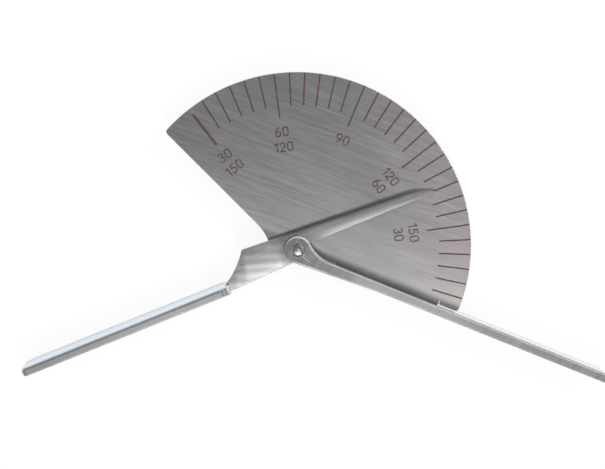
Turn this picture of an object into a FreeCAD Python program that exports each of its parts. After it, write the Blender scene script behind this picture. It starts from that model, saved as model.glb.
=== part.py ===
import FreeCAD, Part

import math
import os

import Sketcher

# Finger goniometer, in millimetres.
# The instrument lies on its back. The origin is on the pivot axis, in the front face of the dial.
# +X runs along the fixed arm, +Z is the pivot axis and points out of the dial towards the reader.
# The pointer arm is drawn along its own X axis, with its pointer towards +X and its bar towards -X,
# and is then turned about the pivot to the angle that it is stored at.

DRIVING_SIZES = [
    ("dial_radius", 38.0, "pivot to the round edge of the dial"),
    ("dial_thickness", 0.8, "sheet of the dial"),
    ("dial_edge_angle", 157.0, "direction of the straight left edge, from +X"),
    ("dial_edge_offset", 2.4, "how far that edge passes below the pivot"),
    ("dial_corner_round", 0.8, "rounding of the two outer corners in plan"),
    ("dial_rim_round", 0.15, "broken edge round the front of the dial"),
    ("hub_left", 5.3, "pivot to the left end of the dial's hub"),
    ("hub_drop", 2.4, "pivot to the lower edge of the dial's hub"),
    ("hub_blend", 10.0, "hollow curve between the straight edge and the hub"),
    ("fold_radius", 1.2, "outer radius of the fold that makes the weld flange"),
    ("fold_inset", 4.4, "outer end of the fold inside the round edge"),
    ("fold_relief", 0.3, "notch at the outer end of the fold"),
    ("corner_lift", 0.2, "free corner of the dial above the fixed arm"),
    ("bar_thickness", 2.0, "strip of both arms"),
    ("bar_width", 8.5, "width of that strip, along Z"),
    ("bar_edge_round", 0.3, "rounding of the long edges of both arms"),
    ("tip_front_round", 1.0, "rounding of both arms' tips towards the front"),
    ("tip_back_round", 3.6, "rounding of both arms' tips towards the back"),
    ("tip_side_round", 0.9, "rounding of both arms' tips in plan"),
    ("fixed_length", 75.0, "pivot to the tip of the fixed arm"),
    ("fixed_start", 9.0, "pivot to the inner end of the fixed arm's full width"),
    ("flange_setback", 0.6, "flange edge to the back edge of the fixed arm"),
    ("ear_radius", 2.95, "round end of the fixed arm's ear"),
    ("ear_thickness", 1.1, "ear along the pivot axis"),
    ("ear_blend", 8.0, "hollow curve between the ear and the top of the strip"),
    ("ear_taper", 20.0, "pivot to where the ear's underside meets the strip"),
    ("moving_length", 65.0, "pivot to the tip of the pointer arm's bar"),
    ("moving_start", 16.6, "pivot to the inner end of that bar"),
    ("moving_drop", 1.5, "top of that bar below the pivot"),
    ("root_front_round", 1.1, "rounding of the bar's inner front corner"),
    ("root_back_round", 3.0, "rounding of the bar's inner back corner"),
    ("web_thickness", 1.0, "web and pointer"),
    ("web_rise", 4.4, "top of the web above the pivot"),
    ("web_corner", 11.3, "pivot to the outer top corner of the web"),
    ("web_flare", 20.0, "hollow curve from that corner down to the bar"),
    ("web_lap", 1.5, "web runs this far along the bar's inner end"),
    ("web_edge_round", 0.16, "broken edge round the front of the web and pointer"),
    ("hub_radius", 2.3, "round of the web below the pivot"),
    ("pointer_inset", 5.9, "point of the pointer inside the dial's round edge"),
    ("pointer_line", 0.25, "reading edge of the pointer above the pivot's own line"),
    ("pointer_blunt", 0.35, "flat at the point"),
    ("pointer_shoulder", 7.0, "the back of the pointer curves down over this length"),
    ("pointer_back", 2.5, "back of the pointer above the pivot, where the curve starts"),
    ("pointer_curve", 16.0, "radius of that curve"),
    ("stored_angle", 136.0, "reading that the pointer arm is stored at"),
    ("running_gap", 0.05, "play along and round the pivot"),
    ("shank_radius", 0.8, "shank of the rivet"),
    ("shank_clearance", 0.03, "round the shank in the fixed pieces"),
    ("head_radius", 1.15, "front head of the rivet"),
    ("head_clearance", 0.25, "ring between the head and its seat"),
    ("head_seat", 0.5, "depth of the head's seat in the ear"),
    ("head_wall", 0.38, "straight side of the head"),
    ("head_dome", 0.38, "height of its dome"),
    ("tail_radius", 1.6, "peened tail of the rivet"),
    ("tail_wall", 0.2, "straight side of the tail"),
    ("tail_dome", 0.6, "height of the tail's dome"),
    ("washer_radius", 2.1, "friction washer"),
    ("washer_thickness", 0.3, "friction washer"),
    ("backing_radius", 2.3, "backing washer"),
    ("backing_thickness", 0.3, "backing washer"),
    ("scale_first_angle", 30.0, "first reading on the scale"),
    ("scale_last_angle", 175.0, "last reading on the scale"),
    ("scale_step_angle", 5.0, "degrees between marks"),
    ("scale_long_angle", 30.0, "degrees between long marks"),
    ("mark_inset", 0.16, "marks stop this far inside the rim"),
    ("first_mark_inset", 1.5, "first mark stops this far inside the rim"),
    ("mark_short", 6.9, "length of a short mark"),
    ("mark_long", 9.4, "length of a long mark"),
    ("mark_width", 0.3, "width of a mark"),
    ("mark_bold", 0.5, "width of the first mark"),
    ("ink_thickness", 0.04, "marks and numerals"),
    ("outer_row_inset", 12.5, "middle of the outer numerals inside the round edge"),
    ("inner_row_inset", 15.8, "middle of the inner numerals inside the round edge"),
    ("numeral_height", 2.1, "height of a numeral"),
    ("numeral_stroke", 0.24, "stroke of a numeral"),
    ("numeral_gap", 0.55, "space between numerals"),
]

# The outer row reads the angle between the arms, and the inner row its supplement.
OUTER_ANGLES = (30, 60, 90, 120, 150)
INNER_ANGLES = (30, 60, 120, 150)
QUARTER_ANGLE = 90
STRAIGHT_ANGLE = 180
FULL_ANGLE = 360

# Two places or directions that differ by less than this are the same.
SAME = 1e-4

# The numbers that a sketch gives to the two ends of a side, and to the middle of a circle.
FIRST_END = 1
LAST_END = 2
MIDDLE = 3
ORIGIN = -1

# Strokes of the numerals, drawn in a cell one unit high. A line is its two ends. An arc is its centre,
# its radius, the angle that it starts at and the angle that it sweeps.
NUMERAL_WIDTHS = {"0": 0.58, "1": 0.34, "2": 0.56, "3": 0.54, "5": 0.56, "6": 0.58, "9": 0.58}
NUMERAL_STROKES = {
    "0": [
        ("line", 0.0, 0.29, 0.0, 0.71),
        ("arc", 0.29, 0.71, 0.29, 0, 180),
        ("line", 0.58, 0.29, 0.58, 0.71),
        ("arc", 0.29, 0.29, 0.29, 180, 180),
    ],
    "1": [("line", 0.3, 0.0, 0.3, 1.0), ("line", 0.3, 1.0, 0.04, 0.76)],
    "2": [
        ("arc", 0.28, 0.72, 0.27, -40, 215),
        ("line", 0.487, 0.546, 0.0, 0.0),
        ("line", 0.0, 0.0, 0.56, 0.0),
    ],
    "3": [("arc", 0.27, 0.75, 0.245, -90, 245), ("arc", 0.27, 0.26, 0.265, -155, 245)],
    "5": [
        ("line", 0.5, 1.0, 0.1, 1.0),
        ("line", 0.1, 1.0, 0.06, 0.55),
        ("arc", 0.26, 0.3, 0.3, -148, 273),
    ],
    "6": [
        ("arc", 0.29, 0.29, 0.285, 0, 360),
        ("arc", 0.8, 0.29, 0.795, 118, 62),
    ],
    "9": [
        ("arc", 0.29, 0.71, 0.285, 0, 360),
        ("arc", -0.22, 0.71, 0.795, -62, 62),
    ],
}

doc = FreeCAD.newDocument("finger_goniometer")
sheet = doc.addObject("Spreadsheet::Sheet", "sizes")
for row, (alias, number, note) in enumerate(DRIVING_SIZES, start=1):
    sheet.set(f"A{row}", alias)
    sheet.set(f"B{row}", str(number))
    sheet.setAlias(f"B{row}", alias)
    sheet.set(f"C{row}", note)
doc.recompute()


def size(alias):
    """The number in the sheet under an alias."""
    return float(getattr(sheet, alias))


def evaluate(expression):
    """The number that an expression on the sheet gives."""
    result = sheet.evalExpression(expression)
    return float(getattr(result, "Value", result))


def bind(thing, **expressions):
    """Binds properties of an object to expressions on the sheet."""
    for prop, expression in expressions.items():
        thing.setExpression(prop.replace("__", "."), expression)


# Lengths that follow from the driving sizes, as expressions on the sheet.
# The washer, the web and the ear lie on the dial in that order, and the ear sets the arms' front edge.
WEB_BACK = "(sizes.washer_thickness + sizes.running_gap)"
WEB_FRONT = f"({WEB_BACK} + sizes.web_thickness)"
EAR_BACK = f"({WEB_FRONT} + sizes.running_gap)"
BAR_FRONT = f"({EAR_BACK} + sizes.ear_thickness)"
BAR_BACK = f"({BAR_FRONT} - sizes.bar_width)"
STACK_BACK = "(-sizes.dial_thickness - sizes.backing_thickness)"
FIXED_BORE = "(sizes.shank_radius + sizes.shank_clearance)"
MOVING_BORE = "(sizes.shank_radius + sizes.running_gap)"
SEAT_FLOOR = f"({BAR_FRONT} - sizes.head_seat)"
FOLD_END = "(sizes.dial_radius - sizes.fold_inset)"
POINTER_REACH = "(sizes.dial_radius - sizes.pointer_inset)"
OUTER_ROW = "(sizes.dial_radius - sizes.outer_row_inset)"
INNER_ROW = "(sizes.dial_radius - sizes.inner_row_inset)"


class Outline:
    """A closed outline in a sketch, drawn vertex by vertex.

    Every vertex is held by two expressions and every arc by a third, so the sketch has no freedom left.
    """

    def __init__(self, body, name, role, level="0"):
        self.sketch = body.newObject("Sketcher::SketchObject", name)
        plane = next(part for part in body.Origin.OriginFeatures if part.Role == role)
        self.sketch.AttachmentSupport = [(plane, "")]
        self.sketch.MapMode = "FlatFace"
        self.sketch.setExpression("AttachmentOffset.Base.z", level)
        self.vertices = []
        self.sides = []

    def vertex(self, across, up):
        """Adds a vertex, joined to the one before by a straight side."""
        self.vertices.append((across, up))
        self.sides.append(None)

    def bend(self, across, up, radius, turn, large=False):
        """Adds a vertex, joined to the one before by an arc that turns left or right."""
        self.vertices.append((across, up))
        self.sides.append((radius, turn, large))

    def hold(self, geometry, end, across, up):
        """Holds one end of a side at a place given by two expressions."""
        for kind, expression in (("DistanceX", across), ("DistanceY", up)):
            number = evaluate(expression)
            held = Sketcher.Constraint(kind, ORIGIN, FIRST_END, geometry, end, number)
            index = self.sketch.addConstraint(held)
            self.sketch.setExpression(f"Constraints[{index}]", expression)

    def side(self, start, finish, shape):
        """Draws one side and returns its number and which of its ends is the start."""
        first = FreeCAD.Vector(evaluate(start[0]), evaluate(start[1]), 0)
        last = FreeCAD.Vector(evaluate(finish[0]), evaluate(finish[1]), 0)
        if shape is None:
            return self.sketch.addGeometry(Part.LineSegment(first, last)), FIRST_END
        radius, turn, large = evaluate(shape[0]), shape[1], shape[2]
        chord = last - first
        left = FreeCAD.Vector(-chord.y, chord.x, 0).normalize()
        reach = math.sqrt(radius**2 - (chord.Length / 2) ** 2)
        towards = 1 if (turn == "left") != large else -1
        centre = first + chord * 0.5 + left * (reach * towards)
        ends = (first, last) if turn == "left" else (last, first)
        angles = [math.atan2(end.y - centre.y, end.x - centre.x) for end in ends]
        if angles[1] <= angles[0]:
            angles[1] += 2 * math.pi
        circle = Part.Circle(centre, FreeCAD.Vector(0, 0, 1), radius)
        number = self.sketch.addGeometry(Part.ArcOfCircle(circle, *angles))
        index = self.sketch.addConstraint(Sketcher.Constraint("Radius", number, radius))
        self.sketch.setExpression(f"Constraints[{index}]", shape[0])
        return number, FIRST_END if turn == "left" else LAST_END

    def close(self):
        """Draws every side, joins them and returns the sketch."""
        drawn = []
        for place, finish in enumerate(self.vertices):
            start = self.vertices[place - 1]
            drawn.append(self.side(start, finish, self.sides[place]))
        for place, (geometry, start_end) in enumerate(drawn):
            before, before_start = drawn[place - 1]
            before_finish = LAST_END if before_start == FIRST_END else FIRST_END
            join = Sketcher.Constraint("Coincident", before, before_finish, geometry, start_end)
            self.sketch.addConstraint(join)
            self.hold(geometry, start_end, *self.vertices[place - 1])
        return self.sketch

    def hole(self, radius):
        """Adds a round hole about the pivot."""
        circle = Part.Circle(FreeCAD.Vector(0, 0, 0), FreeCAD.Vector(0, 0, 1), evaluate(radius))
        number = self.sketch.addGeometry(circle)
        self.sketch.addConstraint(Sketcher.Constraint("Coincident", number, MIDDLE, ORIGIN, FIRST_END))
        index = self.sketch.addConstraint(Sketcher.Constraint("Radius", number, evaluate(radius)))
        self.sketch.setExpression(f"Constraints[{index}]", radius)


def new_body(label):
    """An empty body with its own label."""
    body = doc.addObject("PartDesign::Body", label)
    body.Label = label
    return body


def pad(body, name, sketch, length):
    """Pads a sketch along its normal by a length given as an expression."""
    feature = body.newObject("PartDesign::Pad", name)
    feature.Profile = sketch
    feature.Length = evaluate(length)
    feature.setExpression("Length", length)
    sketch.Visibility = False
    doc.recompute()
    return feature


def pocket(body, name, sketch, depth):
    """Cuts a sketch into the body against its normal, and checks that it cut something."""
    before = body.Shape.Volume
    feature = body.newObject("PartDesign::Pocket", name)
    feature.Profile = sketch
    feature.Length = evaluate(depth)
    feature.setExpression("Length", depth)
    doc.recompute()
    if body.Shape.Volume >= before:
        raise RuntimeError(f"{name} cuts nothing")
    return feature


def round_edges(body, name, base, edges, radius):
    """Rounds the named edges of a feature by a radius given as an expression."""
    feature = body.newObject("PartDesign::Fillet", name)
    feature.Base = (base, edges)
    feature.Radius = evaluate(radius)
    feature.setExpression("Radius", radius)
    doc.recompute()
    return feature


def face_edges(feature, normal, level, skip=None):
    """Names the edges round the flat faces that look along a normal at a level.

    Edges whose middle lies within a distance of the Z axis are left out, which keeps bores sharp.
    """
    shape = feature.Shape
    wanted = []
    for face in shape.Faces:
        if not isinstance(face.Surface, Part.Plane):
            continue
        if (face.normalAt(0, 0) - normal).Length > SAME:
            continue
        if abs(face.CenterOfMass.dot(normal) - level) < SAME:
            wanted.extend(face.Edges)
    names = []
    for number, edge in enumerate(shape.Edges, start=1):
        middle = edge.valueAt((edge.FirstParameter + edge.LastParameter) / 2)
        if skip is not None and skip(middle):
            continue
        if any(edge.isSame(other) for other in wanted):
            names.append(f"Edge{number}")
    return names


def upright_edges(feature, places):
    """Names the edges along Z that stand nearest to the given places in plan."""
    names = []
    for across, up in places:
        best = None
        for number, edge in enumerate(feature.Shape.Edges, start=1):
            if not isinstance(edge.Curve, Part.Line) or abs(edge.Curve.Direction.z) < 1 - SAME:
                continue
            middle = edge.CenterOfMass
            apart = math.hypot(middle.x - across, middle.y - up)
            if best is None or apart < best[0]:
                best = (apart, f"Edge{number}")
        names.append(best[1])
    return names


UP = FreeCAD.Vector(0, 0, 1)
DOWN = FreeCAD.Vector(0, 0, -1)


def near_pivot(radius):
    """A test for places within a radius of the pivot axis."""
    return lambda place: math.hypot(place.x, place.y) < radius


def make_protractor_plate():
    """The dial: a sector of sheet with a hub under the pivot and a weld flange folded back."""
    body = new_body("protractor_plate")
    outline = Outline(body, "dial_outline", "XY_Plane", "-sizes.dial_thickness")
    reach = "sqrt(sizes.dial_radius^2 - sizes.dial_edge_offset^2)"
    # Distances along the straight edge and square to it, measured from the pivot.
    lean = "sizes.dial_edge_angle"
    hub_along = f"(-sizes.hub_left*cos({lean}) - sizes.hub_drop*sin({lean}))"
    hub_across = f"(-sizes.hub_left*sin({lean}) + sizes.hub_drop*cos({lean}))"
    rise = f"({hub_across} + sizes.dial_edge_offset + sizes.hub_blend)"
    blend_start = f"({hub_along} + sqrt(sizes.hub_blend^2 - {rise}^2))"
    edge_places = []
    for along in (reach, blend_start):
        across = f"{along}*cos({lean}) - sizes.dial_edge_offset*sin({lean})"
        up = f"{along}*sin({lean}) + sizes.dial_edge_offset*cos({lean})"
        edge_places.append((across, up))
    hub_right = "sizes.fixed_start - sizes.running_gap"
    rim_corner = ("sqrt(sizes.dial_radius^2 - sizes.corner_lift^2)", "sizes.corner_lift")
    outline.vertex("-sizes.hub_left", "-sizes.hub_drop")
    outline.vertex(hub_right, "-sizes.hub_drop")
    outline.vertex(hub_right, "sizes.fold_radius")
    outline.vertex(FOLD_END, "sizes.fold_radius")
    outline.vertex(FOLD_END, "sizes.corner_lift")
    outline.vertex(*rim_corner)
    outline.bend(*edge_places[0], "sizes.dial_radius", "left")
    outline.vertex(*edge_places[1])
    outline.sides[0] = ("sizes.hub_blend", "right", False)
    sketch = outline.close()
    outline.hole(FIXED_BORE)
    sheet_metal = pad(body, "dial_sheet", sketch, "sizes.dial_thickness")
    corners = [tuple(evaluate(part) for part in place) for place in (rim_corner, edge_places[0])]
    round_edges(
        body, "corner_rounds", sheet_metal, upright_edges(sheet_metal, corners), "sizes.dial_corner_round"
    )

    # The fold and the flange, seen from the end of the arm: across is +Y and up is +Z.
    fold = Outline(body, "fold_profile", "YZ_Plane", hub_right)
    inner_fold = "(sizes.fold_radius - sizes.dial_thickness)"
    flange_edge = f"{BAR_BACK} + sizes.flange_setback"
    fold.vertex("sizes.fold_radius", "0")
    fold.bend("0", "-sizes.fold_radius", "sizes.fold_radius", "left")
    fold.vertex("0", flange_edge)
    fold.vertex("sizes.dial_thickness", flange_edge)
    fold.vertex("sizes.dial_thickness", "-sizes.fold_radius")
    fold.bend("sizes.fold_radius", "-sizes.dial_thickness", inner_fold, "right")
    flange = pad(body, "fold_and_flange", fold.close(), f"{FOLD_END} - sizes.fold_relief - ({hub_right})")

    def keep_sharp(place):
        """Leaves out the bore, and the lower edge where the sheet folds back."""
        in_bore = math.hypot(place.x, place.y) < 2 * size("shank_radius")
        return in_bore or place.y < size("fold_radius") + SAME

    edges = face_edges(flange, UP, 0.0, keep_sharp)
    round_edges(body, "rim_round", flange, edges, "sizes.dial_rim_round")
    return body


def bar_outline(body, name, level, inner, tip, root_rounds=None):
    """The side view of an arm's strip, with a small round at the front of its tip and a large one behind.

    The sketch stands on the XZ plane. The strip runs from inner to tip along X, either way.
    """
    outline = Outline(body, name, "XZ_Plane", level)
    tip_front, tip_back = "sizes.tip_front_round", "sizes.tip_back_round"
    if evaluate(tip) > evaluate(inner):
        outline.vertex(inner, BAR_BACK)
        outline.vertex(f"{tip} - {tip_back}", BAR_BACK)
        outline.bend(tip, f"{BAR_BACK} + {tip_back}", tip_back, "left")
        outline.vertex(tip, f"{BAR_FRONT} - {tip_front}")
        outline.bend(f"{tip} - {tip_front}", BAR_FRONT, tip_front, "left")
        outline.vertex(inner, BAR_FRONT)
        return outline.close()
    front, back = root_rounds
    outline.vertex(f"{tip} + {tip_front}", BAR_FRONT)
    outline.bend(tip, f"{BAR_FRONT} - {tip_front}", tip_front, "left")
    outline.vertex(tip, f"{BAR_BACK} + {tip_back}")
    outline.bend(f"{tip} + {tip_back}", BAR_BACK, tip_back, "left")
    outline.vertex(f"{inner} - {back}", BAR_BACK)
    outline.bend(inner, f"{BAR_BACK} + {back}", back, "left")
    outline.vertex(inner, f"{BAR_FRONT} - {front}")
    outline.bend(f"{inner} - {front}", BAR_FRONT, front, "left")
    return outline.close()


def round_tip(body, name, tip, outward, faces):
    """Rounds the two corners that a strip's tip has in plan.

    Outward is 1 where the tip points along +X and -1 where it points along -X. Faces are the levels of
    the strip's upper and lower face along Y.
    """
    corner = "sizes.tip_side_round"
    spare = "sizes.bar_thickness"
    for face, (level, side) in zip(("upper", "lower"), zip(faces, (1, -1))):
        start = f"{tip} - ({outward})*{corner}"
        beyond = f"{tip} + ({outward})*{spare}"
        inside = f"{level} - ({side})*{corner}"
        clear = f"{level} + ({side})*{spare}"
        waste = Outline(body, f"{name}_{face}_waste", "XY_Plane", f"{BAR_FRONT} + {spare}")
        waste.vertex(start, level)
        waste.vertex(start, clear)
        waste.vertex(beyond, clear)
        waste.vertex(beyond, inside)
        waste.vertex(tip, inside)
        waste.sides[0] = (corner, "left" if outward == side else "right", False)
        pocket(body, f"{name}_{face}_round", waste.close(), f"sizes.bar_width + 2*{spare}")


def make_fixed_arm():
    """The fixed arm: a strip on edge, with an ear at its front that holds the rivet's head."""
    body = new_body("fixed_arm")
    strip_sketch = bar_outline(body, "fixed_strip_plan", "0", "sizes.fixed_start", "sizes.fixed_length")
    pad(body, "fixed_strip", strip_sketch, "sizes.bar_thickness")

    ear = Outline(body, "ear_outline", "XY_Plane", EAR_BACK)
    blend_end = "sqrt(sizes.ear_radius^2 + 2*sizes.ear_radius*sizes.ear_blend)"
    share = "sizes.ear_radius/(sizes.ear_radius + sizes.ear_blend)"
    ear.vertex("0", "-sizes.ear_radius")
    ear.vertex("sizes.ear_taper", "-sizes.bar_thickness")
    ear.vertex("sizes.ear_taper", "0")
    ear.vertex(blend_end, "0")
    ear.bend(f"{blend_end}*{share}", f"sizes.ear_blend*{share}", "sizes.ear_blend", "right")
    ear.sides[0] = ("sizes.ear_radius", "left", True)
    sketch = ear.close()
    ear.hole(FIXED_BORE)
    blank = pad(body, "ear", sketch, "sizes.ear_thickness")

    # Rounding takes in the front rim, the ear's included, and then the back rim of the strip.
    edges = face_edges(blank, UP, evaluate(BAR_FRONT), near_pivot(2 * size("shank_radius")))
    front = round_edges(body, "front_edge_round", blank, edges, "sizes.bar_edge_round")
    edges = face_edges(front, DOWN, -evaluate(BAR_BACK))
    round_edges(body, "back_edge_round", front, edges, "sizes.bar_edge_round")
    round_tip(body, "fixed_tip", "sizes.fixed_length", 1, ("0", "-sizes.bar_thickness"))

    seat = Outline(body, "head_seat_circle", "XY_Plane", BAR_FRONT)
    seat.hole("sizes.head_radius + sizes.head_clearance")
    pocket(body, "head_seat", seat.sketch, "sizes.head_seat")
    return body


def make_moving_strip():
    """The strip of the pointer arm, on edge, with rounds at its inner end where the web leaves it."""
    body = new_body("moving_strip_blank")
    strip_sketch = bar_outline(
        body,
        "moving_strip_plan",
        "sizes.moving_drop",
        "-sizes.moving_start",
        "-sizes.moving_length",
        ("sizes.root_front_round", "sizes.root_back_round"),
    )
    strip = pad(body, "moving_strip", strip_sketch, "sizes.bar_thickness")
    edges = face_edges(strip, FreeCAD.Vector(0, -1, 0), size("moving_drop") + size("bar_thickness"))
    edges += face_edges(strip, FreeCAD.Vector(0, 1, 0), -size("moving_drop"))
    round_edges(body, "strip_edge_round", strip, edges, "sizes.bar_edge_round")
    faces = ("-sizes.moving_drop", "(-sizes.moving_drop - sizes.bar_thickness)")
    round_tip(body, "moving_tip", "-sizes.moving_length", -1, faces)
    return body


def make_web_and_pointer():
    """The thin web that turns on the rivet and runs on as the pointer."""
    body = new_body("web_blank")
    web = Outline(body, "web_outline", "XY_Plane", WEB_BACK)
    lap = "-sizes.moving_start - sizes.web_lap"
    hub_end = "sqrt(sizes.hub_radius^2 - sizes.pointer_line^2)"
    web.vertex(lap, "-sizes.moving_drop - sizes.bar_thickness + sizes.bar_edge_round")
    web.vertex("0", "-sizes.hub_radius")
    web.bend(hub_end, "sizes.pointer_line", "sizes.hub_radius", "left")
    web.vertex(POINTER_REACH, "sizes.pointer_line")
    web.vertex(POINTER_REACH, "sizes.pointer_line + sizes.pointer_blunt")
    web.bend(f"{POINTER_REACH} - sizes.pointer_shoulder", "sizes.pointer_back", "sizes.pointer_curve", "left")
    web.vertex("-sizes.web_corner", "sizes.web_rise")
    web.bend(lap, "-sizes.moving_drop - sizes.bar_edge_round", "sizes.web_flare", "right")
    sketch = web.close()
    web.hole(MOVING_BORE)
    blank = pad(body, "web_and_pointer", sketch, "sizes.web_thickness")
    edges = face_edges(blank, UP, evaluate(WEB_FRONT), near_pivot(2 * size("shank_radius")))
    # The broken edge runs round the point, so it stays under half of the flat there.
    round_edges(body, "web_edge_round", blank, edges, "min(sizes.web_edge_round; 0.48*sizes.pointer_blunt)")
    return body


def make_pointer_arm():
    """The pointer arm: a strip on edge that steps into a thin web, which runs on as the pointer."""
    arm = doc.addObject("Part::Fuse", "pointer_arm")
    arm.Base = make_web_and_pointer()
    arm.Tool = make_moving_strip()
    arm.Label = "pointer_arm"
    arm.Placement.Rotation = FreeCAD.Rotation(UP, STRAIGHT_ANGLE - size("stored_angle"))
    bind(arm, Placement__Rotation__Angle=f"{STRAIGHT_ANGLE} - sizes.stored_angle")
    return arm


def make_pivot_rivet():
    """The rivet: a low front dome, the shank that everything turns on and a peened tail."""
    body = new_body("pivot_rivet")
    profile = Outline(body, "rivet_profile", "XZ_Plane")
    head_curve = "(sizes.head_radius^2 + sizes.head_dome^2)/(2*sizes.head_dome)"
    tail_curve = "(sizes.tail_radius^2 + sizes.tail_dome^2)/(2*sizes.tail_dome)"
    tail_rim = f"{STACK_BACK} - sizes.tail_wall"
    profile.vertex("0", f"{tail_rim} - sizes.tail_dome")
    profile.bend("sizes.tail_radius", tail_rim, tail_curve, "left")
    profile.vertex("sizes.tail_radius", STACK_BACK)
    profile.vertex("sizes.shank_radius", STACK_BACK)
    profile.vertex("sizes.shank_radius", SEAT_FLOOR)
    profile.vertex("sizes.head_radius", SEAT_FLOOR)
    profile.vertex("sizes.head_radius", f"{SEAT_FLOOR} + sizes.head_wall")
    profile.bend("0", f"{SEAT_FLOOR} + sizes.head_wall + sizes.head_dome", head_curve, "left")
    turned = body.newObject("PartDesign::Revolution", "turned_rivet")
    turned.Profile = profile.close()
    turned.ReferenceAxis = (profile.sketch, ["V_Axis"])
    turned.Angle = FULL_ANGLE
    doc.recompute()
    return body


def make_washer(label, radius, thickness, low):
    """A flat washer about the pivot, as a disc less its bore."""
    disc = doc.addObject("Part::Cylinder", f"{label}_disc")
    bore = doc.addObject("Part::Cylinder", f"{label}_bore")
    bind(disc, Radius=radius, Height=thickness)
    bind(bore, Radius=FIXED_BORE, Height=thickness)
    washer = doc.addObject("Part::Cut", label)
    washer.Base = disc
    washer.Tool = bore
    washer.Label = label
    bind(washer, Placement__Base__z=low)
    return washer


def make_scale_marks():
    """One filled mark for every step of the scale, long ones at the long steps."""
    marks = []
    first, last = int(size("scale_first_angle")), int(size("scale_last_angle"))
    for reading in range(first, last + 1, int(size("scale_step_angle"))):
        mark = doc.addObject("Part::Box", f"mark_{reading}")
        is_long = reading % int(size("scale_long_angle")) == 0
        width = "sizes.mark_bold" if reading == first else "sizes.mark_width"
        length = "sizes.mark_long" if is_long else "sizes.mark_short"
        angle = STRAIGHT_ANGLE - reading
        inner = f"(sizes.dial_radius - sizes.mark_inset - {length})"
        if reading == first:
            length = f"({length} + sizes.mark_inset - sizes.first_mark_inset)"
        bind(mark, Length=length, Width=width, Height="sizes.ink_thickness")
        mark.Placement.Rotation = FreeCAD.Rotation(UP, angle)
        bind(
            mark,
            Placement__Base__x=f"{inner}*cos({angle}) + {width}/2*sin({angle})",
            Placement__Base__y=f"{inner}*sin({angle}) - {width}/2*cos({angle})",
        )
        marks.append(mark)
    group = doc.addObject("Part::Compound", "scale_marks")
    group.Links = marks
    group.Label = "scale_marks"
    return group


def stroke_solid(stroke, scale, half, thickness):
    """One stroke of a numeral as a solid with round ends."""
    if stroke[0] == "line":
        start = FreeCAD.Vector(stroke[1] * scale, stroke[2] * scale, 0)
        finish = FreeCAD.Vector(stroke[3] * scale, stroke[4] * scale, 0)
        run = finish - start
        solid = Part.makeBox(run.Length, 2 * half, thickness, FreeCAD.Vector(0, -half, 0))
        solid.rotate(FreeCAD.Vector(0, 0, 0), UP, math.degrees(math.atan2(run.y, run.x)))
        solid.translate(start)
        ends = [start, finish]
    else:
        _, across, up, radius, begin, sweep = stroke
        centre = FreeCAD.Vector(across * scale, up * scale, 0)
        outer = Part.makeCylinder(radius * scale + half, thickness, centre, UP, sweep)
        inner = Part.makeCylinder(radius * scale - half, 3 * thickness, centre - UP * thickness, UP)
        solid = outer.cut(inner)
        solid.rotate(centre, UP, begin)
        ends = []
        if sweep < FULL_ANGLE:
            for angle in (math.radians(begin), math.radians(begin + sweep)):
                ends.append(centre + FreeCAD.Vector(math.cos(angle), math.sin(angle), 0) * radius * scale)
    for end in ends:
        solid = solid.fuse(Part.makeCylinder(half, thickness, end, UP))
    return solid


def numeral_solids(text, radius, angle):
    """A number as one solid for each figure, its foot towards the pivot, centred on an angle."""
    stroke = size("numeral_stroke")
    scale = size("numeral_height") - stroke
    gap = size("numeral_gap")
    widths = [NUMERAL_WIDTHS[figure] * scale for figure in text]
    start = -(sum(widths) + gap * (len(text) - 1)) / 2
    solids = []
    for figure, width in zip(text, widths):
        strokes = [
            stroke_solid(item, scale, stroke / 2, size("ink_thickness")) for item in NUMERAL_STROKES[figure]
        ]
        solid = strokes[0].multiFuse(strokes[1:]).removeSplitter()
        solid.translate(FreeCAD.Vector(start, radius - scale / 2, 0))
        solid.rotate(FreeCAD.Vector(0, 0, 0), UP, angle - QUARTER_ANGLE)
        solids.extend(solid.Solids)
        start += width + gap
    return solids


def make_scale_numerals():
    """Both rows of numbers: the angle between the arms outside, its supplement inside."""
    solids = []
    for reading in OUTER_ANGLES:
        solids += numeral_solids(str(reading), evaluate(OUTER_ROW), STRAIGHT_ANGLE - reading)
    for reading in INNER_ANGLES:
        solids += numeral_solids(str(STRAIGHT_ANGLE - reading), evaluate(INNER_ROW), STRAIGHT_ANGLE - reading)
    numerals = doc.addObject("Part::Feature", "scale_numerals")
    numerals.Shape = Part.makeCompound(solids)
    numerals.Label = "scale_numerals"
    return numerals


nodes = [
    make_protractor_plate(),
    make_fixed_arm(),
    make_pointer_arm(),
    make_pivot_rivet(),
    make_washer("friction_washer", "sizes.washer_radius", "sizes.washer_thickness", "0"),
    make_washer("backing_washer", "sizes.backing_radius", "sizes.backing_thickness", STACK_BACK),
    make_scale_marks(),
    make_scale_numerals(),
]
doc.recompute()

for thing in doc.Objects:
    if "Invalid" in thing.State or "Error" in thing.State:
        raise RuntimeError(f"{thing.Label} failed: {thing.State}")
for node in nodes:
    if node.Shape.isNull() or not node.Shape.isValid():
        raise RuntimeError(f"{node.Label} has no valid shape")

os.makedirs("parts", exist_ok=True)
for node in nodes:
    node.Shape.exportStep(f"parts/{node.Label}.step")
    box = node.Shape.BoundBox
    spans = ((box.XMin, box.XMax), (box.YMin, box.YMax), (box.ZMin, box.ZMax))
    corners = ", ".join(f"{low:.2f}..{high:.2f}" for low, high in spans)
    print(f"{node.Label}: {len(node.Shape.Solids)} solids, {node.Shape.Volume:.1f} mm3, {corners}")
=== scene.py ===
"""Finger goniometer: the finishes, the crowned surfaces, the light and the camera of the dressed model.

Everything is in metres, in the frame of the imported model: +X runs along the fixed arm, +Z is the pivot
axis and points out of the dial towards the reader, and the arms' back edges rest on the floor.
"""

import logging
import math
from dataclasses import dataclass
from enum import Enum

import bmesh
import bpy
import numpy as np
from mathutils import Matrix, Vector


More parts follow.
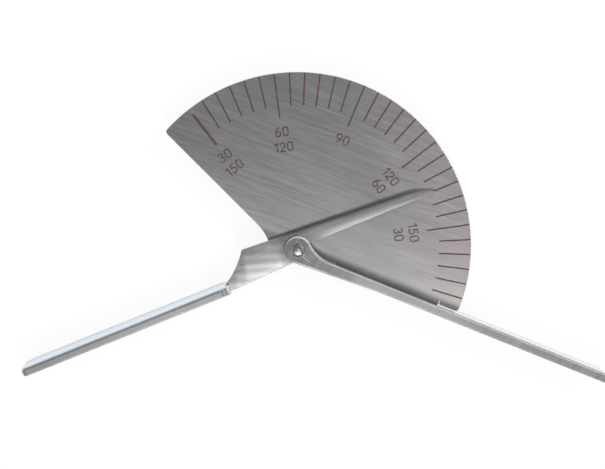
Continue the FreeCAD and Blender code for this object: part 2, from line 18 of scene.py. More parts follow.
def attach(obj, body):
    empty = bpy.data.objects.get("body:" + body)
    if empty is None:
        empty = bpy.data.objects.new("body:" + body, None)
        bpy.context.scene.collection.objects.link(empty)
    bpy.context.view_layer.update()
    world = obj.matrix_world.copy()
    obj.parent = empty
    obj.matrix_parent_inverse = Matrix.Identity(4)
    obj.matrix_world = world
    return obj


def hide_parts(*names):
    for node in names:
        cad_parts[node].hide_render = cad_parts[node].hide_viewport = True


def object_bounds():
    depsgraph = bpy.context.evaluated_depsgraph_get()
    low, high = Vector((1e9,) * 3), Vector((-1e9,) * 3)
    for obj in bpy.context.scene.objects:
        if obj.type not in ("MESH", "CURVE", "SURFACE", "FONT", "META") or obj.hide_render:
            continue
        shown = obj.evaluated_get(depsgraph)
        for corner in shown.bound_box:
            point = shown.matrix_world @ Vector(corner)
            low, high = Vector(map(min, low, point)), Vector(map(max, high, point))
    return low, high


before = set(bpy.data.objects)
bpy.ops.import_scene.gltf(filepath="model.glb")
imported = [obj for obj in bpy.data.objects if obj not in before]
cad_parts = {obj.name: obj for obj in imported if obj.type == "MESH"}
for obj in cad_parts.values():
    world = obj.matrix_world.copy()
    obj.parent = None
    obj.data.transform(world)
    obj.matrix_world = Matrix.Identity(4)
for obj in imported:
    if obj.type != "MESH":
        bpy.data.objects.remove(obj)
CAD_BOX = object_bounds()

MM = 0.001
SHARP_ANGLE = math.radians(35)
WELD_LENGTH = 0.0002 * MM
UNIT = (0.0, 1.0)
NOISE_SPAN = (0.3, 0.7)
Pair = tuple[float, float]
Triple = tuple[float, float, float]
Colour = Triple
Array = np.ndarray
Measures = dict[str, Array]
Material = bpy.types.Material
Object = bpy.types.Object
Socket = bpy.types.NodeSocket
Source = Socket | Colour | float

log = logging.getLogger("finger_goniometer")


class Body(Enum):
    """The two bodies that turn against each other."""

    FIXED = "dial_and_fixed_arm"
    MOVING = "pointer_arm"


class Nodes:
    """A node tree, with short calls that add nodes and link them."""

    def __init__(self, tree: bpy.types.NodeTree) -> None:
        """Takes the tree that the nodes are added to."""
        self.tree = tree

    def add(self, kind: str, **settings: object) -> bpy.types.Node:
        """Adds a node.

        Args:
            kind: Blender's name for the node type, without ShaderNode before it.
            **settings: Properties set on the node.

        Returns:
            The new node.
        """
        node = self.tree.nodes.new("ShaderNode" + kind)
        for key, value in settings.items():
            setattr(node, key, value)
        return node

    def join(self, source: Source, target: Socket) -> None:
        """Links an output to an input, or sets the input to a colour or a value.

        Args:
            source: The output, the colour or the value.
            target: The input.
        """
        if isinstance(source, Socket):
            self.tree.links.new(source, target)
        else:
            target.default_value = (*source, 1.0) if isinstance(source, tuple) else source

    def place(self, turn: float, scale: Triple) -> Socket:
        """Gives Object coordinates, turned about Z and then scaled.

        Args:
            turn: Angle in degrees from +X to the pattern's own first axis.
            scale: Repeats per metre along the pattern's three axes.

        Returns:
            The socket with the pattern's coordinates.
        """
        coordinates = self.add("TexCoord")
        turned = self.add("Mapping", vector_type="POINT")
        turned.inputs["Rotation"].default_value = (0.0, 0.0, -math.radians(turn))
        scaled = self.add("Mapping", vector_type="POINT")
        scaled.inputs["Scale"].default_value = scale
        self.join(coordinates.outputs["Object"], turned.inputs["Vector"])
        self.join(turned.outputs["Vector"], scaled.inputs["Vector"])
        return scaled.outputs["Vector"]

    def noise(self, vector: Socket, scale: float, detail: float) -> Socket:
        """Adds a noise pattern.

        Args:
            vector: The pattern's coordinates.
            scale: Scale of the noise.
            detail: Octaves of finer noise.

        Returns:
            The socket with the noise, from 0 to 1.
        """
        node = self.add("TexNoise")
        node.inputs["Scale"].default_value = scale
        node.inputs["Detail"].default_value = detail
        self.join(vector, node.inputs["Vector"])
        return node.outputs["Fac"]

    def span(self, value: Socket, ends: Pair, out: Pair, kind: str = "LINEAR") -> Socket:
        """Maps a range of a value to another range, and holds it there.

        Args:
            value: The value to map.
            ends: The values that give the first and the last result.
            out: The first and the last result.
            kind: Blender's name for the way between them.

        Returns:
            The socket with the mapped value.
        """
        node = self.add("MapRange", clamp=True, interpolation_type=kind)
        for title, number in zip(("From Min", "From Max", "To Min", "To Max"), (*ends, *out)):
            node.inputs[title].default_value = number
        self.join(value, node.inputs["Value"])
        return node.outputs["Result"]

    def calc(self, operation: str, first: Socket, second: Socket) -> Socket:
        """Works out one value from two.

        Args:
            operation: Blender's name for the operation.
            first: The first value.
            second: The second value.

        Returns:
            The socket with the result.
        """
        node = self.add("Math", operation=operation)
        self.join(first, node.inputs[0])
        self.join(second, node.inputs[1])
        return node.outputs["Value"]

    def part(self, vector: Socket, axis: str) -> Socket:
        """Gives one of a vector's three parts.

        Args:
            vector: The vector.
            axis: X, Y or Z.

        Returns:
            The socket with that part.
        """
        parts = self.add("SeparateXYZ")
        self.join(vector, parts.inputs["Vector"])
        return parts.outputs[axis]

    def measure(self, axis: str, turn: float) -> Socket:
        """Gives a length in metres.

        Args:
            axis: X, Y or Z for that Object coordinate, or else the name of the mesh's own measure.
            turn: Angle in degrees by which the axes are turned about Z.

        Returns:
            The socket with the length.
        """
        if axis not in ("X", "Y", "Z"):
            return self.add("Attribute", attribute_name=axis).outputs["Fac"]
        return self.part(self.place(turn, (1.0, 1.0, 1.0)), axis)

    def mix(self, share: Socket, first: Source, second: Source, kind: str) -> Socket:
        """Mixes two colours or values.

        Args:
            share: How much of the second one shows, from 0 to 1.
            first: The first colour or value, or the socket that gives it.
            second: The second one.
            kind: RGBA for colours, FLOAT for values.

        Returns:
            The socket with the mix.
        """
        node = self.add("Mix", data_type=kind)
        first_socket, second_socket = [socket for socket in node.inputs if socket.enabled][1:]
        self.join(share, node.inputs["Factor"])
        self.join(first, first_socket)
        self.join(second, second_socket)
        return next(socket for socket in node.outputs if socket.enabled)


class Recipe(Nodes):
    """A material and its node tree."""

    def __init__(self, name: str) -> None:
        """Starts a material with a Principled shader.

        Args:
            name: Name of the material.
        """
        self.material = bpy.data.materials.new(name)
        self.material.use_nodes = True
        super().__init__(self.material.node_tree)
        self.shader = self.tree.nodes["Principled BSDF"]

    def emboss(self, height: Socket, depth: float, strength: float) -> None:
        """Raises the surface by a height pattern.

        Args:
            height: The height, from 0 to 1.
            depth: What a height of 1 stands for, in metres.
            strength: Share of the relief that is kept.
        """
        node = self.add("Bump")
        node.inputs["Distance"].default_value = depth
        node.inputs["Strength"].default_value = strength
        self.join(height, node.inputs["Height"])
        self.join(node.outputs["Normal"], self.shader.inputs["Normal"])


@dataclass(frozen=True)
class Zone:
    """A part of a surface with colours and roughness of its own, between two places on one axis or measure.
    Some zones paint light or shade into the colour.
    """

    axis: str
    inside: float
    outside: float
    dull: Colour
    clear: Colour
    rough: Pair
    turn: float = 0.0


@dataclass(frozen=True)
class BrushedSteel:
    """Stainless steel that was brushed one way, with fine and broad lines and a cloudy tone."""

    name: str
    dull: Colour
    clear: Colour
    grain_angle: float
    grain_length: float = 3 * MM
    grain_width: float = 0.2 * MM
    grain_depth: float = 0.001 * MM
    rough: Pair = (0.38, 0.48)
    cloud_size: float = 9 * MM
    metal: float = 0.94
    zones: tuple[Zone, ...] = ()
    fine_share: float = 0.55
    broad_scale: float = 0.28
    cloud_stretch: float = 0.4
    cloud_span: Pair = (0.35, 0.65)
    rough_span: Pair = (0.1, 0.9)

    def material(self) -> Material:
        """Builds the material.

        The lines are noise that is stretched along the grain. Two widths of them are added for the
        relief and the roughness, and a wide noise makes the tone uneven. Each zone fades in between
        its two places, over the zones before it.

        Returns:
            The finished material.
        """
        recipe = Recipe(self.name)
        fineness, spots = 1 / self.grain_width, 1 / self.cloud_size
        lines = recipe.place(self.grain_angle, (1 / self.grain_length, fineness, fineness))
        fine = recipe.span(recipe.noise(lines, 1.0, 3.0), NOISE_SPAN, (0.0, self.fine_share))
        broad = recipe.noise(lines, self.broad_scale, 2.0)
        grain = recipe.calc("ADD", fine, recipe.span(broad, NOISE_SPAN, (0.0, 1.0 - self.fine_share)))
        patches = recipe.place(self.grain_angle, (self.cloud_stretch * spots, spots, spots))
        cloud = recipe.span(recipe.noise(patches, 1.0, 3.0), self.cloud_span, (0.0, 0.5))
        tone = recipe.calc("ADD", recipe.span(grain, UNIT, (0.0, 0.5)), cloud)
        colour = recipe.mix(tone, self.dull, self.clear, "RGBA")
        rough = recipe.span(grain, self.rough_span, self.rough)
        for zone in self.zones:
            share = recipe.span(recipe.measure(zone.axis, zone.turn), (zone.outside, zone.inside), UNIT)
            colour = recipe.mix(share, colour, recipe.mix(tone, zone.dull, zone.clear, "RGBA"), "RGBA")
            rough = recipe.mix(share, rough, recipe.span(grain, self.rough_span, zone.rough), "FLOAT")
        recipe.join(colour, recipe.shader.inputs["Base Color"])
        recipe.join(rough, recipe.shader.inputs["Roughness"])
        recipe.emboss(grain, self.grain_depth, 1.0)
        recipe.shader.inputs["Metallic"].default_value = self.metal
        return recipe.material


@dataclass(frozen=True)
class SpeckledMatt:
    """A matt finish with an uneven tone, such as thin ink or moulded plastic."""

    name: str
    shade: Colour
    light: Colour
    speck_size: float
    detail: float
    tone_span: Pair
    rough: Pair
    relief: float
    relief_share: float = 0.5

    def material(self) -> Material:
        """Builds the material.

        Returns:
            The finished material.
        """
        recipe = Recipe(self.name)
        specks = recipe.noise(recipe.place(0.0, (1 / self.speck_size,) * 3), 1.0, self.detail)
        tone = recipe.span(specks, self.tone_span, UNIT)
        recipe.join(recipe.mix(tone, self.shade, self.light, "RGBA"), recipe.shader.inputs["Base Color"])
        recipe.join(recipe.span(specks, NOISE_SPAN, self.rough), recipe.shader.inputs["Roughness"])
        recipe.emboss(specks, self.relief, self.relief_share)
        return recipe.material


def place_object(name: str, data: bpy.types.ID) -> Object:
    """Makes an object and puts it into the scene.

    Args:
        name: Name of the object.
        data: Its mesh, lamp or camera.

    Returns:
        The new object.
    """
    made = bpy.data.objects.new(name, data)
    bpy.context.scene.collection.objects.link(made)
    return made


def make_piece(
    name: str,
    points: Array,
    faces: list[tuple[int, ...]],
    material: Material,
    body: Body,
    measures: Measures | None = None,
) -> Object:
    """Makes a smooth piece from points and faces, and lets it ride on a body.

    Args:
        name: Name of the piece.
        points: Corners of the mesh, one row each, in metres.
        faces: Corner numbers of each face, anticlockwise seen from outside.
        material: The finish.
        body: The body that the piece moves with.
        measures: A length at each corner for each name, which the finish may read.

    Returns:
        The new object.
    """
    mesh = bpy.data.meshes.new(name)
    mesh.from_pydata(points.tolist(), [], faces)
    for title, lengths in (measures or {}).items():
        values = mesh.attributes.new(title, "FLOAT", "POINT").data
        values.foreach_set("value", lengths.astype(np.float32).ravel())
    welded = bmesh.new()
    welded.from_mesh(mesh)
    bmesh.ops.remove_doubles(welded, verts=welded.verts, dist=WELD_LENGTH)
    welded.to_mesh(mesh)
    welded.free()
    mesh.polygons.foreach_set("use_smooth", np.ones(len(mesh.polygons), dtype=bool))
    mesh.set_sharp_from_angle(angle=SHARP_ANGLE)
    mesh.materials.append(material)
    piece = place_object(name, mesh)
    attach(piece, body.value)
    log.info("%s: %d faces, %s", name, len(mesh.polygons), material.name)
    return piece


def grid_faces(rows: int, columns: int) -> list[tuple[int, ...]]:
    """Lists the faces of a grid whose columns close into rings.

    Args:
        rows: Number of rings.
        columns: Number of points in a ring.

    Returns:
        Four corner numbers for each face. They run anticlockwise seen from outside where the rings run
        anticlockwise about the direction that the rows advance in.
    """
    row, column = np.meshgrid(np.arange(rows - 1), np.arange(columns), indexing="ij")
    after = (column + 1) % columns
    here, above = row * columns, (row + 1) * columns
    corners = (here + column, here + after, above + after, above + column)
    return [tuple(face) for face in np.stack(corners, axis=-1).reshape(-1, 4).tolist()]


def make_shell(
    name: str,
    along: Array,
    up: Array,
    level: Array,
    material: Material,
    body: Body,
    turn: float = 0.0,
    measures: Measures | None = None,
) -> Object:
    """Makes a closed piece from rings, with a flat end at the first ring and at the last.

    Args:
        name: Name of the piece.
        along: Length at which each ring stands, as a column.
        up: Heights of the rings' points, a row for each ring.
        level: Levels of the same points.
        material: The finish.
        body: The body that the piece moves with.
        turn: Angle about the pivot from +X to the direction of the lengths.
        measures: A length at each point for each name, which the finish may read.

    Returns:
        The new piece.
    """
    cosine, sine = math.cos(turn), math.sin(turn)
    rows, columns = up.shape
    faces = grid_faces(rows, columns)
    faces.append(tuple(range(columns - 1, -1, -1)))
    faces.append(tuple(range((rows - 1) * columns, rows * columns)))
    points = np.stack((along * cosine - up * sine, along * sine + up * cosine, level), axis=-1)
    return make_piece(name, points.reshape(-1, 3), faces, material, body, measures)


def fall_off(distance: Array, width: Array | float) -> Array:
    """Gives 1 at no distance and 0 from a width on, as the square of what is left of the width."""
    return np.clip(1.0 - distance / width, 0.0, 1.0) ** 2


def ease(share: Array) -> Array:
    """Gives a soft step from 0 to 1: three squares of the share less two of its cubes."""
    share = np.clip(share, 0.0, 1.0)
    return share * share * (3.0 - 2.0 * share)


def level_share(along: Array, edge: Array) -> Array:
    """Gives the cosine of an edge's slope at each station."""
    return 1.0 / np.hypot(1.0, np.gradient(edge[:, 0], along[:, 0]))[:, None]


def edge_drop(distance: Array, radius: Array | float) -> Array:
    """Gives how far a quarter round lies below its flat, at a distance from the edge."""
    inside = np.clip(radius - distance, 0.0, radius)
    return radius - np.sqrt(radius**2 - inside**2)


def arc_between(start: Array, finish: Array, radius: float, left: bool, share: Array) -> Array:
    """Gives points on the short arc between two places.

    The centre lies off the middle of the chord by the root of the radius squared less half the chord
    squared. The points are the start, swung about the centre by shares of the arc's angle.

    Args:
        start: First place.
        finish: Last place.
        radius: Radius of the arc.
        left: Whether the arc turns left on its way.
        share: Shares of the way, from 0 to 1.

    Returns:
        One point in a row for each share.
    """
    chord = finish - start
    half = np.hypot(*chord) / 2
    side = np.array([-chord[1], chord[0]]) / (2 * half) * (1 if left else -1)
    centre = start + chord / 2 + side * math.sqrt(radius**2 - half**2)
    swing = 2 * math.asin(half / radius) * (1 if left else -1) * share
    arm = start - centre
    across = centre[0] + arm[0] * np.cos(swing) - arm[1] * np.sin(swing)
    up = centre[1] + arm[0] * np.sin(swing) + arm[1] * np.cos(swing)
    return np.stack((across, up), axis=-1)


def dress(node: str, material: Material) -> None:
    """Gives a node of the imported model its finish.

    Args:
        node: Name of the node.
        material: The finish.
    """
    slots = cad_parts[node].data.materials
    slots.clear()
    slots.append(material)
    log.info("%s: %s", node, material.name)


@dataclass(frozen=True)
class Dial:
    """The dial with its printed scale."""

    steel: BrushedSteel = BrushedSteel(
        "dial_steel", dull=(0.475, 0.48, 0.49), clear=(0.6, 0.605, 0.613), grain_angle=2.0,
        grain_length=5 * MM, grain_width=0.17 * MM, rough=(0.32, 0.4), grain_depth=0.0014 * MM,
        zones=(
            # Lighter, warmer tone far out towards the dial's right: painted light, the lamp's glow painted
            # into the steel's colour.
            Zone("X", 32 * MM, 19 * MM, (0.62, 0.59, 0.59), (0.77, 0.735, 0.735), (0.32, 0.4), turn=38.0),
            # Darker, rougher band along the fold beside the fixed arm: painted shade where the arm shades
            # the dial.
            Zone("Y", 1.0 * MM, 2.4 * MM, (0.25, 0.245, 0.245), (0.4, 0.39, 0.39), (0.58, 0.68)),
        ),
    )
    ink: SpeckledMatt = SpeckledMatt(
        "scale_ink", shade=(0.12, 0.058, 0.066), light=(0.062, 0.022, 0.03), speck_size=0.25 * MM,
        detail=2.0, tone_span=(0.35, 0.6), rough=(0.62, 0.5), relief=0.003 * MM,
    )
    # Dark steel of the strip in the fold's groove: painted shade.
    groove_shade: BrushedSteel = BrushedSteel(
        "groove_shade_steel", dull=(0.25, 0.245, 0.24), clear=(0.4, 0.39, 0.385), grain_angle=2.0,
        grain_width=0.3 * MM, grain_depth=0.006 * MM, rough=(0.58, 0.68), metal=0.8,
        # Darker still right next to the arm: more painted shade.
        zones=(Zone("Y", 0.1 * MM, 0.9 * MM, (0.1, 0.097, 0.095), (0.18, 0.175, 0.17), (0.6, 0.7)),),
    )
    shade_fill_start: float = 8.97 * MM
    shade_fill_end: float = 33.25 * MM
    shade_fill_edge: float = 0.02 * MM
    shade_fill_width: float = 1.16 * MM
    shade_fill_foot: float = 0.03 * MM
    shade_fill_top: float = -0.02 * MM
    shade_fill_bottom: float = -1.15 * MM
    shade_fill_wave: float = 0.02 * MM
    shade_fill_pitch: float = 1.1 * MM
    shade_fill_slant: float = 4.0
    shade_fill_rings: int = 260
    shade_fill_points: int = 15

    def build(self) -> None:
        """Dresses the plate, the marks and the numerals, and puts a dark strip of painted shade in the
        groove of the fold.
        """
        dress("protractor_plate", self.steel.material())
        ink = self.ink.material()
        dress("scale_marks", ink)
        dress("scale_numerals", ink)
        self.make_shade_fill()

    def make_shade_fill(self) -> Object:
        """Makes a dark strip that fills the groove between the fold and the fixed arm: painted shade, for
        the shade that the arm casts there.

        Its top is a shallow hollow that lies a little under the dial's face, with soft waves of a
        steady pitch along it. The underside tapers into the groove.

        Returns:
            The new piece.
        """
        along = np.linspace(self.shade_fill_start, self.shade_fill_end, self.shade_fill_rings)[:, None]
        share = np.linspace(1.0, 0.0, self.shade_fill_points)[None, :]
        wave = 1 + np.sin(2 * np.pi * along / self.shade_fill_pitch + self.shade_fill_slant * share)
        hollow = 4 * share * (1 - share)
        top = self.shade_fill_top - self.shade_fill_wave * (wave + hollow)
        across = np.broadcast_to(self.shade_fill_edge + share * self.shade_fill_width, top.shape)
        edge, bottom = np.full(along.shape, self.shade_fill_edge), np.full(along.shape, self.shade_fill_bottom)
        up = np.concatenate((across, edge, edge + self.shade_fill_foot), axis=1)
        level = np.concatenate((top, bottom, bottom), axis=1)
        return make_shell("fold_shade_fill", along, up, level, self.groove_shade.material(), Body.FIXED)


# Lighter colour and lower roughness for the faces under the arms' front, their sides and rounds. The
# lighter colour is a painted sheen for the white surround that these faces mirror.
SMOOTH_SIDE_SHEEN = {"dull": (0.78, 0.8, 0.82), "clear": (0.88, 0.9, 0.92), "rough": (0.16, 0.26)}


@dataclass(frozen=True)
class Section:
    """The outline of an arm at stations along it: a flat leaf at the front, and a strip on edge behind it.

    Each array is a column with one value for each station. The strip hangs from the leaf's underside,
    and has no depth where its back lies at the leaf's underside.
    """

    along: Array
    low: Array
    high: Array
    under: Array
    strip_low: Array
    strip_high: Array
    strip_back: Array
    strip_round: float
    corner_points: int = 5

    def spread(self, count: int) -> Array:
        """Gives heights across the leaf from its upper edge to its lower one, closest at the edges.

        Args:
            count: Number of points.

        Returns:
            A row of heights for each station.
        """
        return self.low + (self.high - self.low) * (1 + np.cos(np.linspace(0.0, np.pi, count)))[None, :] / 2

    def close(self, up: Array, front: Array) -> tuple[Array, Array]:
        """Adds the sides, the underside and the strip to the leaf's front.

        The strip's two lower corners are quarter rounds.

        Args:
            up: Heights of the front's points, a row for each station.
            front: Levels of the same points.

        Returns:
            Heights and levels of the closed rings.
        """
        depth = self.under - self.strip_back
        radius = np.clip(depth / 2, 0.0, self.strip_round)
        turn = np.linspace(0.0, np.pi / 2, self.corner_points)[None, :]
        opening, closing = radius * (1 - np.cos(turn)), radius * (1 - np.sin(turn))
        near, away = self.strip_low + opening, self.strip_high - closing
        falling, rising = self.strip_back + closing, self.strip_back + opening
        heights = (up, self.low, self.strip_low, near, away, self.strip_high, self.high)
        levels = (front, self.under, self.under, falling, rising, self.under, self.under)
        return np.concatenate(heights, axis=1), np.concatenate(levels, axis=1)


@dataclass(frozen=True)
class Arm:
    """An arm that is stamped from one strip of steel, on edge for most of its length.

    Lengths run along the arm's own axis from the pivot, and heights square to it, before the arm is
    turned to the angle that it lies at.
    """

    turn: float = 0.0
    bar_thickness: float = 2.0 * MM
    bar_front: float = 2.5 * MM
    bar_back: float = -6.0 * MM
    bar_round: float = 0.3 * MM
    tip_side: float = 0.9 * MM
    tip_front: float = 1.0 * MM
    tip_back: float = 3.6 * MM
    tip_points: int = 46


@dataclass(frozen=True)
class FixedArm(Arm):
    """The fixed arm, with the round ear that holds the rivet's head."""

    start: float = 9.0 * MM
    length: float = 75.0 * MM
    ear_radius: float = 2.95 * MM
    ear_back: float = 1.4 * MM
    ear_taper: float = 20.0 * MM
    ear_blend: float = 8.0 * MM
    ear_round: float = 0.42 * MM
    seat_radius: float = 1.4 * MM
    seat_wall: float = 0.08 * MM
    seat_depth: float = 0.5 * MM
    facet_width: float = 0.28 * MM
    facet_drop: float = 0.13 * MM
    lean: float = 0.5 * MM
    lean_start: float = 5.0 * MM
    lean_end: float = 17.0 * MM
    mark_from: Pair = (1.6 * MM, -0.75 * MM)
    mark_to: Pair = (3.3 * MM, -1.25 * MM)
    mark_width: float = 0.3 * MM
    mark_depth: float = 0.4 * MM
    ear_end: float = 0.999
    ear_points: int = 16
    seat_span: float = 1.6 * MM
    seat_points: int = 90
    neck_start: float = 1.65 * MM
    neck_points: int = 70
    step_lengths: tuple[float, ...] = (1e-6, 0.3 * MM, 2 * MM, 4 * MM, 7 * MM, 11 * MM)
    bar_start: float = 22.0 * MM
    bar_points: int = 20
    front_points: int = 97
    steel: BrushedSteel = BrushedSteel(
        "arm_steel", dull=(0.33, 0.333, 0.34), clear=(0.49, 0.495, 0.5), grain_angle=77.0,
        zones=(
            Zone("X", 7 * MM, 22 * MM, (0.34, 0.342, 0.345), (0.59, 0.593, 0.596), (0.34, 0.44)),
            # Painted sheen on the sides and rounds below the front.
            Zone("Z", 1.9 * MM, 2.1 * MM, **SMOOTH_SIDE_SHEEN),
        ),
    )

    def build(self) -> None:
        """Makes the arm in place of the plain one."""
        piece = self.make_arm()
        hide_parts("fixed_arm")

    def upper_edge(self, along: Array) -> Array:
        """Gives the upper edge: the ear's circle, a hollow arc that is tangent to it, and the bar's edge.

        The arc's centre stands a blend radius above the bar's edge, where its distance from the pivot is
        the sum of both radii.

        Args:
            along: Lengths along the arm.

        Returns:
            The height of the edge at each length.
        """
        reach = self.ear_radius + self.ear_blend
        blend_end = math.sqrt(reach**2 - self.ear_blend**2)
        meeting = blend_end * self.ear_radius / reach
        circle = np.sqrt(np.clip(self.ear_radius**2 - along**2, 0.0, None))
        hollow = self.ear_blend - np.sqrt(np.clip(self.ear_blend**2 - (along - blend_end) ** 2, 0.0, None))
        return np.where(along < meeting, circle, np.where(along < blend_end, hollow, 0.0))

    def lower_edge(self, along: Array) -> Array:
        """Gives the lower edge: the ear's circle, then a straight taper to the bar's lower face.

        Args:
            along: Lengths along the arm.

        Returns:
            The height of the edge at each length.
        """
        circle = -np.sqrt(np.clip(self.ear_radius**2 - along**2, 0.0, None))
        taper = -self.ear_radius + (self.ear_radius - self.bar_thickness) * along / self.ear_taper
        return np.where(along < 0, circle, np.minimum(taper, -self.bar_thickness))

    def from_mark(self, along: Array, up: Array) -> Array:
        """Gives the distance from the punch mark, which is a straight line between its two ends.

        Args:
            along: Lengths along the arm.
            up: Heights.

        Returns:
            The distance of each point.
        """
        start, reach = np.array(self.mark_from), np.subtract(self.mark_to, self.mark_from)
        share = ((along - start[0]) * reach[0] + (up - start[1]) * reach[1]) / np.dot(reach, reach)
        share = np.clip(share, 0.0, 1.0)
        return np.hypot(along - start[0] - share * reach[0], up - start[1] - share * reach[1])

    def make_arm(self) -> Object:
        """Makes the ear and the bar as one shell.

        The front lies below its level by a quarter round at both edges, by a narrow facet on the upper
        one that starts a third of the round in, by the depth of the seat inside the seat's circle, and
        by a lean that sinks the ear's upper side and fades out along the arm. A punch has left a short
        trough beside the seat. Distances are square to the edge: the height from the edge times the
        cosine of the edge's slope.

        Returns:
            The new piece.
        """
        ear_swing = np.linspace(0.0, np.pi / 2, self.ear_points)[:-1]
        tip_swing = np.linspace(0.0, np.pi / 2, self.tip_points)[1:]
        runs = (
            -self.ear_radius * np.cos(ear_swing) * self.ear_end,
            np.linspace(-self.seat_span, self.seat_span, self.seat_points),
            np.linspace(self.neck_start, self.start, self.neck_points),
            self.start + np.array(self.step_lengths),
            np.linspace(self.bar_start, self.length - self.tip_back, self.bar_points),
            self.length - self.tip_back * (1 - np.sin(tip_swing)),
        )
        along = np.unique(np.round(np.concatenate(runs), 9))[:, None]
        to_end = np.clip(self.length - along, 0.0, None)
        squeeze = edge_drop(to_end, self.tip_side)
        low, high = self.lower_edge(along) + squeeze, self.upper_edge(along) - squeeze
        bar = along > self.start
        top = self.bar_front - edge_drop(to_end, self.tip_front)
        section = Section(
            along=along, low=low, high=high, under=np.minimum(self.ear_back, top - 2 * self.ear_round),
            strip_low=np.maximum(low, -self.bar_thickness + squeeze), strip_high=np.minimum(high, -squeeze),
            strip_back=np.where(bar, self.bar_back + edge_drop(to_end, self.tip_back), self.ear_back),
            strip_round=self.bar_round,
        )
        up = section.spread(self.front_points)
        in_ear = ease((self.start - along) / self.ear_radius)
        radius = self.bar_round + (self.ear_round - self.bar_round) * in_ear
        radius = np.minimum(radius, (high - low) / 2)
        from_low, from_high = (up - low) * level_share(along, low), (high - up) * level_share(along, high)
        facet = self.facet_drop * np.clip(1 - (from_high - radius / 3) / self.facet_width, 0.0, 1.0)
        in_seat = ease((self.seat_radius + self.seat_wall - np.hypot(along, up)) / self.seat_wall)
        lean = self.lean * ease((self.lean_end - along) / (self.lean_end - self.lean_start))
        sunk = lean * (up + self.ear_radius) / (2 * self.ear_radius)
        rounds = np.minimum(edge_drop(from_low, radius) + edge_drop(from_high, radius), radius)
        front = top - rounds - facet * np.minimum(1.0, (high - low) / MM)
        front = front - np.maximum(self.seat_depth * in_seat, sunk)
        front = front - self.mark_depth * fall_off(self.from_mark(along, up), self.mark_width)
        up, level = section.close(up, front)
        return make_shell("eared_arm", along, up, level, self.steel.material(), Body.FIXED, self.turn)


